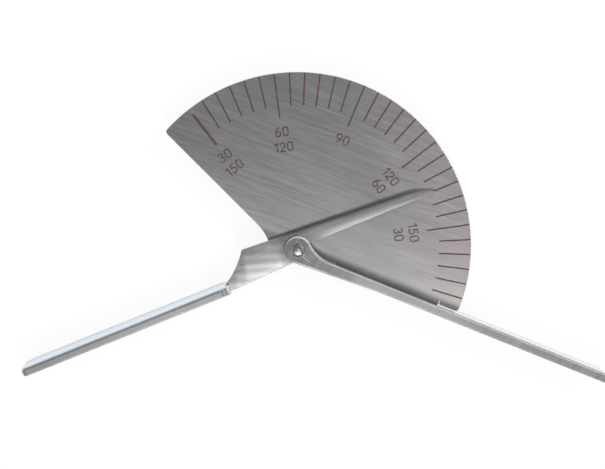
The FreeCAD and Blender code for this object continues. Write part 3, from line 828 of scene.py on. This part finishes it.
@dataclass(frozen=True)
class PointerArm(Arm):
    """The arm that turns: a bar on edge, and a crowned blade that is its web and its pointer."""

    turn: float = math.radians(44)
    reach: float = 32.1 * MM
    reading_line: float = 0.25 * MM
    blunt: float = 0.35 * MM
    shoulder: float = 7.0 * MM
    back: float = 2.5 * MM
    back_curve: float = 16.0 * MM
    web_corner: float = 11.3 * MM
    web_rise: float = 4.4 * MM
    web_flare: float = 20.0 * MM
    web_lap: float = 1.5 * MM
    hub_radius: float = 2.3 * MM
    blade_back: float = 0.35 * MM
    blade_front: float = 1.35 * MM
    blade_round: float = 0.16 * MM
    bevel_width: float = 1.5 * MM
    bevel_drop: float = 0.085 * MM
    bevel_start: float = 2.5 * MM
    bevel_end: float = 8.5 * MM
    crown_width: float = 6.6 * MM
    crown_drop: float = 0.33 * MM
    crown_start: float = -5.5 * MM
    crown_end: float = -1.5 * MM
    back_width: float = 2.0 * MM
    back_drop: float = 0.13 * MM
    web_back_width: float = 6.0 * MM
    web_back_drop: float = 0.36 * MM
    ripple_depth: float = 0.018 * MM
    ripple_length: float = 3.4 * MM
    ripple_lean: Pair = (0.6, 0.45)
    ripple_shift: float = 1.0
    point_drop: float = 0.12 * MM
    # Centre of the painted shade over the pivot, where the ear shades the web.
    pivot_shade_place: Pair = (0.5 * MM, 2.5 * MM)
    # How far the painted shade on the back edge is pulled in towards the point.
    tip_shade_fade: float = 0.6 * MM
    bar_start: float = 16.6 * MM
    bar_end: float = 65.0 * MM
    bar_drop: float = 1.5 * MM
    root_front: float = 1.1 * MM
    root_back: float = 3.0 * MM
    fold_start: float = -19.4 * MM
    fold_pitch: float = 0.9 * MM
    fold_count: int = 2
    fold_growth: float = 1.5
    fold_depth: float = 0.08 * MM
    upper_round: float = 0.75 * MM
    edge_points: int = 60
    blade_rings: int = 44
    blade_points: int = 61
    bar_rings: int = 24
    fold_rings: int = 40
    bar_points: int = 41
    steel: BrushedSteel = BrushedSteel(
        "pointer_steel", dull=(0.44, 0.443, 0.448), clear=(0.72, 0.723, 0.728), grain_angle=44.0,
        grain_length=5 * MM, cloud_size=3.5 * MM,
        zones=(
            Zone("X", -1 * MM, -4 * MM, (0.385, 0.388, 0.392), (0.6, 0.603, 0.607), (0.38, 0.48)),
            # Darker round the place over the pivot: painted shade of the ear on the web.
            Zone("from_pivot_shade", 2.5 * MM, 6 * MM, (0.25, 0.253, 0.256), (0.42, 0.423, 0.427), (0.4, 0.5)),
            # Very dark along the pointer's back edge: painted shade beside the edge.
            Zone("from_back", 0.1 * MM, 0.9 * MM, (0.13, 0.13, 0.13), (0.2, 0.2, 0.2), (0.5, 0.6)),
        ),
    )
    bar_steel: BrushedSteel = BrushedSteel(
        "bar_steel", dull=(0.43, 0.44, 0.447), clear=(0.51, 0.517, 0.523), grain_angle=100.0,
        grain_width=0.26 * MM, rough=(0.44, 0.5),
        # Painted sheen on the sides and the wide upper round below the front.
        zones=(Zone("Z", 2.15 * MM, 2.4 * MM, **SMOOTH_SIDE_SHEEN),),
    )

    def build(self) -> None:
        """Makes the blade and the bar in place of the plain arm."""
        for piece in (self.make_blade(), self.make_bar()):
            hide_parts("pointer_arm")

    def upper_edge(self, along: Array) -> Array:
        """Gives the blade's upper edge.

        From the bar a hollow arc climbs to the web's corner. A straight line runs on to the shoulder,
        and a second arc falls from there to the point.

        Args:
            along: Lengths along the arm.

        Returns:
            The height of the edge at each length.
        """
        lap = -self.bar_start - self.web_lap
        corner = np.array([-self.web_corner, self.web_rise])
        foot = np.array([lap, -self.bar_drop - self.bar_round])
        shoulder = np.array([self.reach - self.shoulder, self.back])
        point = np.array([self.reach, self.reading_line + self.blunt])
        share = np.linspace(0.0, 1.0, self.edge_points)
        hollow = arc_between(foot, corner, self.web_flare, True, share)
        fall = arc_between(shoulder, point, self.back_curve, False, share)
        places = np.concatenate((hollow, fall))
        return np.interp(along, places[:, 0], places[:, 1])

    def lower_edge(self, along: Array) -> Array:
        """Gives the blade's lower edge: a straight run to the hub, the hub's round, and the reading edge.

        Args:
            along: Lengths along the arm.

        Returns:
            The height of the edge at each length.
        """
        lap = -self.bar_start - self.web_lap
        foot = -self.bar_drop - self.bar_thickness + self.bar_round
        straight = foot + (along - lap) / -lap * (-self.hub_radius - foot)
        hub = -np.sqrt(np.clip(self.hub_radius**2 - along**2, 0.0, None))
        return np.where(along < 0, straight, np.where(along < self.hub_radius, hub, self.reading_line))

    def make_blade(self) -> Object:
        """Makes the web and the pointer as one shell.

        The front lies below its level by a quarter round at both edges, bevels to the reading edge and
        the back edge, broader falls to the web's edges, a slope to the point, and the product of two
        slanting waves on the web. Two measures tell the finish how far a point is from the place of
        painted shade over the pivot and from the pointer's back edge, along which it paints a dark line
        of shade. Where the web begins, the second one is raised by a millimetre, so that the painted
        shade on the back edge ends there; it is raised towards the point as well.

        Returns:
            The new piece.
        """
        lap = -self.bar_start - self.web_lap
        stops = (lap, -self.web_corner, 0.0, self.hub_radius, self.reach - self.shoulder, self.reach)
        pairs = zip(stops[:-1], stops[1:])
        runs = [np.linspace(first, last, self.blade_rings, endpoint=False) for first, last in pairs]
        along = np.concatenate((*runs, [self.reach]))[:, None]
        low, high = self.lower_edge(along), self.upper_edge(along)
        under = np.full(along.shape, self.blade_back)
        section = Section(along, low, high, under, low, high, under, 0.0)
        up = section.spread(self.blade_points)
        from_low, from_high = up - low, high - up
        in_web = ease((self.hub_radius - along) / (self.hub_radius + self.web_corner / 2))
        in_crown = ease((self.crown_end - along) / (self.crown_end - self.crown_start))
        in_bevel = ease((along - self.bevel_start) / (self.bevel_end - self.bevel_start))
        bevel = in_bevel * self.bevel_drop * fall_off(from_low, self.bevel_width)
        crown = in_crown * self.crown_drop * fall_off(from_low, self.crown_width)
        back = (1 - in_web) * self.back_drop * fall_off(from_high, self.back_width)
        back = back + in_web * self.web_back_drop * fall_off(from_high, self.web_back_width)
        wave = 2 * np.pi / self.ripple_length
        rising = np.sin(wave * (along + self.ripple_lean[0] * up))
        falling = np.sin(wave * (self.ripple_lean[1] * along - up) + self.ripple_shift)
        ripple = in_web * self.ripple_depth * (1 + rising * falling)
        to_point = fall_off(self.reach - along, self.shoulder)
        rounds = edge_drop(from_low, self.blade_round) + edge_drop(from_high, self.blade_round)
        front = self.blade_front - bevel - crown - back - self.point_drop * to_point - ripple
        front = front - np.minimum(rounds, self.blade_round)
        up, level = section.close(up, front)
        # Distances that the finish reads for its painted shade: over the pivot, and along the back edge.
        measures = {
            "from_pivot_shade": np.hypot(along - self.pivot_shade_place[0], up - self.pivot_shade_place[1]),
            "from_back": high - up + in_web * MM + self.tip_shade_fade * to_point,
        }
        steel = self.steel.material()
        return make_shell("crowned_blade", along, up, level, steel, Body.MOVING, self.turn, measures)

    def make_bar(self) -> Object:
        """Makes the bar as one shell, with rounds at both ends and a wider one on its upper edge.

        Two shallow waves cross its front where the web was bent away from it, the second one shorter.

        Returns:
            The new piece.
        """
        swing = 1 - np.sin(np.linspace(0.0, np.pi / 2, self.tip_points)[1:])
        fold_length = self.fold_count * self.fold_pitch
        runs = (
            -self.bar_end + self.tip_back * swing,
            np.linspace(-self.bar_end + self.tip_back, self.fold_start, self.bar_rings),
            np.linspace(self.fold_start, self.fold_start + fold_length, self.fold_rings),
            -self.bar_start - self.root_back * swing,
        )
        along = np.unique(np.round(np.concatenate(runs), 9))[:, None]
        to_tip, to_root = self.bar_end + along, -self.bar_start - along
        squeeze = edge_drop(to_tip, self.tip_side) + edge_drop(to_root, self.bar_round)
        low, high = -self.bar_drop - self.bar_thickness + squeeze, -self.bar_drop - squeeze
        top = self.bar_front - edge_drop(to_tip, self.tip_front) - edge_drop(to_root, self.root_front)
        passed = np.clip((along - self.fold_start) / fold_length, 0.0, 1.0)
        turns = self.fold_count * passed**self.fold_growth
        top = top - self.fold_depth * (1 - np.cos(2 * np.pi * turns)) / 2
        back = self.bar_back + edge_drop(to_tip, self.tip_back) + edge_drop(to_root, self.root_back)
        under = np.full(along.shape, self.bar_front - self.tip_front - 2 * self.bar_round)
        section = Section(along, low, high, under, low, high, back, self.bar_round)
        up = section.spread(self.bar_points)
        half = (high - low) / 2
        round_low, round_high = np.minimum(self.bar_round, half), np.minimum(self.upper_round, half)
        front = top - edge_drop(up - low, round_low) - edge_drop(high - up, round_high)
        up, level = section.close(up, front)
        steel = self.bar_steel.material()
        return make_shell("tipped_bar", along, up, level, steel, Body.MOVING, self.turn)


@dataclass(frozen=True)
class Pivot:
    """The rivet and the washers under it."""

    head_radius: float = 1.15 * MM
    head_wall: float = 0.5 * MM
    head_dome: float = 0.16 * MM
    ridge_height: float = 0.1 * MM
    ridge_width: float = 0.5 * MM
    ridge_turn: float = math.radians(-22)
    head_floor: float = 2.0 * MM
    shank_radius: float = 0.8 * MM
    tail_floor: float = -1.1 * MM
    tail_radius: float = 1.6 * MM
    tail_wall: float = 0.2 * MM
    tail_dome: float = 0.6 * MM
    peen_depth: float = 0.035 * MM
    peen_waves: tuple[Triple, ...] = ((5.0, 0.7, 1.0), (8.0, 2.1, 0.6))
    tail_points: int = 22
    head_points: int = 26
    ring_points: int = 96
    steel: BrushedSteel = BrushedSteel(
        "rivet_steel", dull=(0.36, 0.365, 0.37), clear=(0.5, 0.505, 0.51), grain_angle=70.0,
        grain_length=1 * MM, grain_width=0.07 * MM, grain_depth=0.0006 * MM, rough=(0.28, 0.38),
    )
    plastic: SpeckledMatt = SpeckledMatt(
        "washer_plastic", shade=(0.62, 0.6, 0.55), light=(0.72, 0.7, 0.66), speck_size=0.3 * MM,
        detail=4.0, tone_span=NOISE_SPAN, rough=(0.45, 0.6), relief=0.006 * MM,
    )

    def build(self) -> None:
        """Makes the rivet, and dresses the washers."""
        steel = self.steel.material()
        rivet = self.make_rivet(steel)
        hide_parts("pivot_rivet")
        dress("backing_washer", steel)
        dress("friction_washer", self.plastic.material())

    def dome(self, radius: float, wall_top: float, height: float, count: int) -> Array:
        """Gives the profile of a dome from its rim to its middle.

        The radius falls as a cosine. The height rises half as a sine, which turns the rim in softly,
        and half as the sine's square, which keeps the middle flat.

        Args:
            radius: Radius of the rim.
            wall_top: Level of the rim.
            height: Height of the dome, negative where it points down.
            count: Number of points.

        Returns:
            A radius and a level in each row.
        """
        angle = np.linspace(0.0, np.pi / 2, count)
        rise = (np.sin(angle) + np.sin(angle) ** 2) / 2
        return np.stack((radius * np.cos(angle), wall_top + height * rise), axis=-1)

    def make_rivet(self, steel: Material) -> Object:
        """Makes the rivet by turning its profile about the pivot axis.

        The profile runs from the middle of the tail over its dome, up the shank and over the head. The
        tail's radius wavers by a few soft waves round it, as a hammered end does: each has a count, a
        shift and a size. A low ridge crosses the head: it falls off with the square of what is left of
        its width on each side.

        Args:
            steel: The finish.

        Returns:
            The new piece.
        """
        tail_rim, head_rim = self.tail_floor - self.tail_wall, self.head_floor + self.head_wall
        tail = self.dome(self.tail_radius, tail_rim, -self.tail_dome, self.tail_points)[::-1]
        head = self.dome(self.head_radius, head_rim, self.head_dome, self.head_points)
        shank = np.array([
            (self.tail_radius, self.tail_floor),
            (self.shank_radius, self.tail_floor),
            (self.shank_radius, self.head_floor),
            (self.head_radius, self.head_floor),
        ])
        profile = np.concatenate((tail[1:], shank, head[:-1]))
        angle = np.linspace(0.0, 2 * np.pi, self.ring_points, endpoint=False)
        waver = 1 + sum(size * np.sin(count * angle + shift) for count, shift, size in self.peen_waves)
        in_tail = np.clip((self.tail_floor - profile[:, 1]) / self.tail_wall, 0.0, 1.0)
        cut = self.peen_depth * in_tail[:, None] * (profile[:, :1] / self.tail_radius)
        radius = profile[:, :1] - waver * cut
        from_ridge = np.abs(radius * np.sin(angle - self.ridge_turn))
        in_head = np.clip((profile[:, 1:] - head_rim) / self.head_dome, 0.0, 1.0)
        level = profile[:, 1:] + in_head * self.ridge_height * fall_off(from_ridge, self.ridge_width)
        points = np.stack((radius * np.cos(angle), radius * np.sin(angle), level), axis=-1).reshape(-1, 3)
        rows, columns = radius.shape
        poles = np.array([(0.0, 0.0, tail[0, 1]), (0.0, 0.0, head[-1, 1] + self.ridge_height)])
        faces = grid_faces(rows, columns)
        ring = np.arange(columns)
        after = np.roll(ring, -1)
        last = (rows - 1) * columns
        bottom, top = len(points), len(points) + 1
        faces += [(bottom, int(b), int(a)) for a, b in zip(ring, after)]
        faces += [(top, int(a + last), int(b + last)) for a, b in zip(ring, after)]
        return make_piece("turned_rivet", np.concatenate((points, poles)), faces, steel, Body.FIXED)


@dataclass(frozen=True)
class Lamp:
    """A soft lamp that is aimed at the pivot."""

    name: str
    azimuth: float
    elevation: float
    distance: float
    width: float
    height: float
    power: float
    colour: Colour = (1.0, 1.0, 1.0)

    def build(self) -> None:
        """Makes the lamp, its width level and square to the line of sight."""
        light = bpy.data.lights.new(self.name, "AREA")
        light.shape = "RECTANGLE"
        light.size, light.size_y = self.width, self.height
        light.energy = self.power
        light.color = self.colour
        lamp = place_object(self.name, light)
        azimuth, elevation = math.radians(self.azimuth), math.radians(self.elevation)
        flat = math.cos(elevation)
        towards = Vector((flat * math.cos(azimuth), flat * math.sin(azimuth), math.sin(elevation)))
        lamp.location = towards * self.distance
        lamp.rotation_euler = towards.to_track_quat("Z", "Y").to_euler()


@dataclass(frozen=True)
class Studio:
    """White floor and surround, a grey ceiling over the object and two soft lamps."""

    floor_level: float = CAD_BOX[0].z
    floor_reach: float = 3.0
    floor_colour: Colour = (0.95, 0.95, 0.95)
    floor_white: Colour = (1.0, 1.0, 1.0)
    floor_blue: Colour = (0.86, 0.93, 1.0)
    shadow_share: float = 0.12
    ceiling: float = 0.088
    wall: float = 1.0
    near_wall: float = 0.36
    near_azimuth: float = -67.6
    near_span: Pair = (-0.1, 0.6)
    ceiling_span: Pair = (0.3, 0.92)
    fill: float = 1.0
    tint_reach: float = 20 * MM
    paper_rough: float = 0.9
    fibre_scale: float = 400.0
    fibre_depth: float = 0.02 * MM
    fibre_share: float = 0.2
    key: Lamp = Lamp(
        "key_lamp", azimuth=-60.0, elevation=60.0, distance=0.33, width=0.11, height=0.11, power=0.33,
        colour=(1.0, 0.965, 0.955),
    )
    strip: Lamp = Lamp(
        "strip_lamp", azimuth=58.0, elevation=46.0, distance=0.6, width=0.42, height=0.035, power=1.0
    )

    def build(self) -> None:
        """Makes the floor, the world and the lamps."""
        self.make_floor()
        self.make_world()
        self.key.build()
        self.strip.build()

    def make_floor(self) -> None:
        """Makes a square floor under the object, white where no shadow falls.

        The steel sees it a little blue towards the pointer arm.
        """
        mesh = bpy.data.meshes.new("studio_floor")
        reach = self.floor_reach
        corners = [(-reach, -reach), (reach, -reach), (reach, reach), (-reach, reach)]
        mesh.from_pydata([(*corner, self.floor_level) for corner in corners], [], [(0, 1, 2, 3)])
        floor = place_object("studio_floor", mesh)
        recipe = Recipe("floor_paper")
        fibres = recipe.noise(recipe.place(0.0, (self.fibre_scale,) * 3), 1.0, 3.0)
        recipe.emboss(fibres, self.fibre_depth, self.fibre_share)
        recipe.join(self.floor_colour, recipe.shader.inputs["Base Color"])
        recipe.join(self.paper_rough, recipe.shader.inputs["Roughness"])
        path = recipe.add("LightPath")
        camera, glossy = path.outputs["Is Camera Ray"], path.outputs["Is Glossy Ray"]
        side = recipe.span(recipe.measure("X", 0.0), (-self.tint_reach, self.tint_reach), UNIT)
        white = recipe.calc("MAXIMUM", side, camera)
        glow = recipe.add("Emission")
        recipe.join(recipe.mix(white, self.floor_blue, self.floor_white, "RGBA"), glow.inputs["Color"])
        share = recipe.calc("MAXIMUM", recipe.span(camera, UNIT, (0.0, 1.0 - self.shadow_share)), glossy)
        mixed = recipe.add("MixShader")
        recipe.join(share, mixed.inputs["Fac"])
        recipe.join(recipe.shader.outputs["BSDF"], mixed.inputs[1])
        recipe.join(glow.outputs["Emission"], mixed.inputs[2])
        recipe.join(mixed.outputs["Shader"], recipe.tree.nodes["Material Output"].inputs["Surface"])
        mesh.materials.append(recipe.material)

    def make_world(self) -> None:
        """Makes the surround.

        The camera sees it white. The steel sees grey overhead, a bright wall round about, and a darker
        one on the side that is nearest to the reader.
        """
        world = bpy.data.worlds.new("studio")
        bpy.context.scene.world = world
        world.use_nodes = True
        nodes = Nodes(world.node_tree)
        nodes.tree.nodes.clear()
        direction = nodes.add("TexCoord").outputs["Generated"]
        azimuth = math.radians(self.near_azimuth)
        facing = nodes.add("VectorMath", operation="DOT_PRODUCT")
        facing.inputs[1].default_value = (math.cos(azimuth), math.sin(azimuth), 0.0)
        nodes.join(direction, facing.inputs[0])
        walls = (self.wall, self.near_wall)
        side = nodes.span(facing.outputs["Value"], self.near_span, walls, "SMOOTHSTEP")
        overhead = nodes.span(nodes.part(direction, "Z"), self.ceiling_span, UNIT, "SMOOTHSTEP")
        mirrored = nodes.mix(overhead, side, self.ceiling, "FLOAT")
        path = nodes.add("LightPath")
        lit = nodes.mix(path.outputs["Is Glossy Ray"], self.fill, mirrored, "FLOAT")
        seen = nodes.mix(path.outputs["Is Camera Ray"], lit, 1.0, "FLOAT")
        background = nodes.add("Background")
        nodes.join(seen, background.inputs["Strength"])
        output = nodes.add("OutputWorld")
        nodes.join(background.outputs["Background"], output.inputs["Surface"])


@dataclass(frozen=True)
class PhotoCamera:
    """The camera, placed where the photograph was taken from."""

    place: Triple = (-27.95 * MM, 26.81 * MM, 279.01 * MM)
    back: Triple = (-0.09873, 0.0837, 0.99159)
    page_up: float = 112.4
    lens: float = 77.36
    sensor: float = 36.0
    clip: Pair = (10 * MM, 20.0)

    def build(self) -> None:
        """Makes the camera and gives it to the scene."""
        data = bpy.data.cameras.new("photo_camera")
        data.sensor_fit = "HORIZONTAL"
        data.sensor_width = self.sensor
        data.lens = self.lens
        data.clip_start, data.clip_end = self.clip
        camera = place_object("photo_camera", data)
        turn = math.radians(self.page_up)
        back = Vector(self.back).normalized()
        right = Vector((math.cos(turn), math.sin(turn), 0.0)).cross(back).normalized()
        up = back.cross(right)
        axes = Matrix((right, up, back)).transposed().to_4x4()
        camera.matrix_world = Matrix.Translation(Vector(self.place)) @ axes
        bpy.context.scene.camera = camera


def main() -> None:
    """Dresses the parts in order, and sets the light and the camera."""
    logging.basicConfig(level=logging.INFO, format="%(name)s: %(message)s")
    bpy.context.scene.view_settings.view_transform = "Standard"
    for part in (PhotoCamera(), Dial(), FixedArm(), PointerArm(), Pivot(), Studio()):
        part.build()
        log.info("%s is done", type(part).__name__)


if __name__ == "__main__":
    main()
